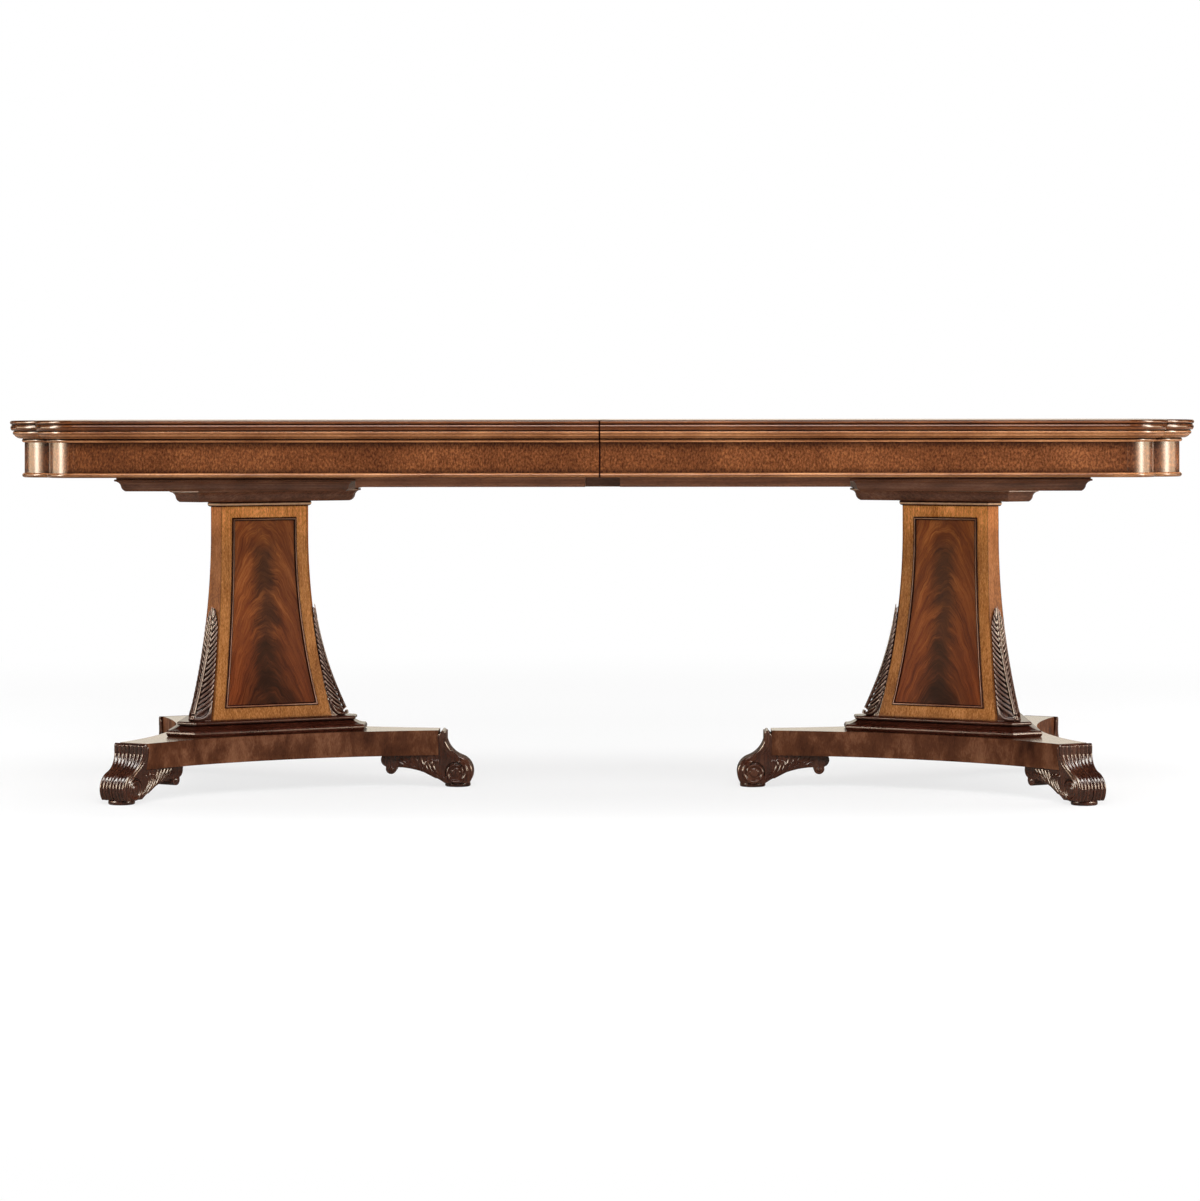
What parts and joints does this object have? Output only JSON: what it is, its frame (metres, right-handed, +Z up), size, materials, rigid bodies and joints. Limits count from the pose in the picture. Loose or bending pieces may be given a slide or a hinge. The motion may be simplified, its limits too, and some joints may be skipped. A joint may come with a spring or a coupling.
{
  "type": "pedestal dining table",
  "caption": "Extending mahogany dining table with cusped corners and a reeded edge on twin flared three-sided pedestals with carved scroll feet; the halves slide apart for a leaf.",
  "frame": {"origin": "on the floor under the middle of the closed table", "axes": "+X along the table towards the half that slides out, +Y towards the rear, +Z up"},
  "size_m": [2.316, 1.219, 0.762],
  "materials": {
    "top_veneer": "polished",
    "edge_mahogany": "polished",
    "frieze_veneer": "polished",
    "bearer_wood": "sawn",
    "runner_wood": "satin",
    "centre_runner_wood": "satin",
    "dark_moulding": "polished",
    "column_frame": "polished",
    "flame_veneer": "polished",
    "carved_mahogany": "polished",
    "platform_veneer": "polished",
    "fastener_steel": "plain",
    "lock_brass": "satin"
  },
  "bodies": {
    "left_half": {"left_top_panel": "top_veneer", "left_edge_moulding": "edge_mahogany", "left_apron_bead": "edge_mahogany", "left_front_apron": "frieze_veneer", "left_rear_apron": "frieze_veneer", "left_end_apron": "frieze_veneer", "left_front_corner_block": "frieze_veneer", "left_rear_corner_block": "frieze_veneer", "left_cross_bearers": "bearer_wood", "left_front_runner": "runner_wood", "left_rear_runner": "runner_wood", "left_bearing_plate": "dark_moulding", "left_plate_bolts": "fastener_steel", "left_pedestal_cap": "dark_moulding", "left_column_neck": "dark_moulding", "left_column": "column_frame", "left_flame_panels": "flame_veneer", "left_panel_beads": "dark_moulding", "left_corner_leaves": "carved_mahogany", "left_plinth": "dark_moulding", "left_platform": "platform_veneer", "left_foot_soles": "carved_mahogany", "left_tie_rod": "fastener_steel", "left_inner_foot": "carved_mahogany", "left_outer_front_foot": "carved_mahogany", "left_outer_rear_foot": "carved_mahogany", "lock_plates": "lock_brass", "alignment_dowels": "lock_brass"},
    "right_half": {"right_top_panel": "top_veneer", "right_edge_moulding": "edge_mahogany", "right_apron_bead": "edge_mahogany", "right_front_apron": "frieze_veneer", "right_rear_apron": "frieze_veneer", "right_end_apron": "frieze_veneer", "right_front_corner_block": "frieze_veneer", "right_rear_corner_block": "frieze_veneer", "right_cross_bearers": "bearer_wood", "right_front_runner": "runner_wood", "right_rear_runner": "runner_wood", "right_bearing_plate": "dark_moulding", "right_plate_bolts": "fastener_steel", "right_pedestal_cap": "dark_moulding", "right_column_neck": "dark_moulding", "right_column": "column_frame", "right_flame_panels": "flame_veneer", "right_panel_beads": "dark_moulding", "right_corner_leaves": "carved_mahogany", "right_plinth": "dark_moulding", "right_platform": "platform_veneer", "right_foot_soles": "carved_mahogany", "right_tie_rod": "fastener_steel", "right_inner_foot": "carved_mahogany", "right_outer_front_foot": "carved_mahogany", "right_outer_rear_foot": "carved_mahogany", "lock_keepers": "lock_brass"},
    "front_centre_runner": {"front_centre_runner": "centre_runner_wood"},
    "rear_centre_runner": {"rear_centre_runner": "centre_runner_wood"},
    "front_lock_lever": {"front_lock_lever": "lock_brass"},
    "rear_lock_lever": {"rear_lock_lever": "lock_brass"}
  },
  "joints": [
    {"name": "table_slide", "type": "slide", "parent": "left_half", "child": "right_half", "axis": [1, 0, 0], "range_m": [0, 0.508]},
    {"name": "front_runner_slide", "type": "slide", "parent": "left_half", "child": "front_centre_runner", "axis": [1, 0, 0], "range_m": [0, 0.254]},
    {"name": "rear_runner_slide", "type": "slide", "parent": "left_half", "child": "rear_centre_runner", "axis": [1, 0, 0], "range_m": [0, 0.254]},
    {"name": "front_lock_hinge", "type": "hinge", "parent": "left_half", "child": "front_lock_lever", "pos_m": [-0.045, -0.43, 0.726], "axis": [0, 0, -1], "range_deg": [0, 90]},
    {"name": "rear_lock_hinge", "type": "hinge", "parent": "left_half", "child": "rear_lock_lever", "pos_m": [-0.045, 0.43, 0.726], "axis": [0, 0, 1], "range_deg": [0, 90]}
  ],
  "couplings": [
    {"joint": "front_runner_slide", "follows": "table_slide", "ratio": 0.5},
    {"joint": "rear_runner_slide", "follows": "table_slide", "ratio": 0.5}
  ]
}
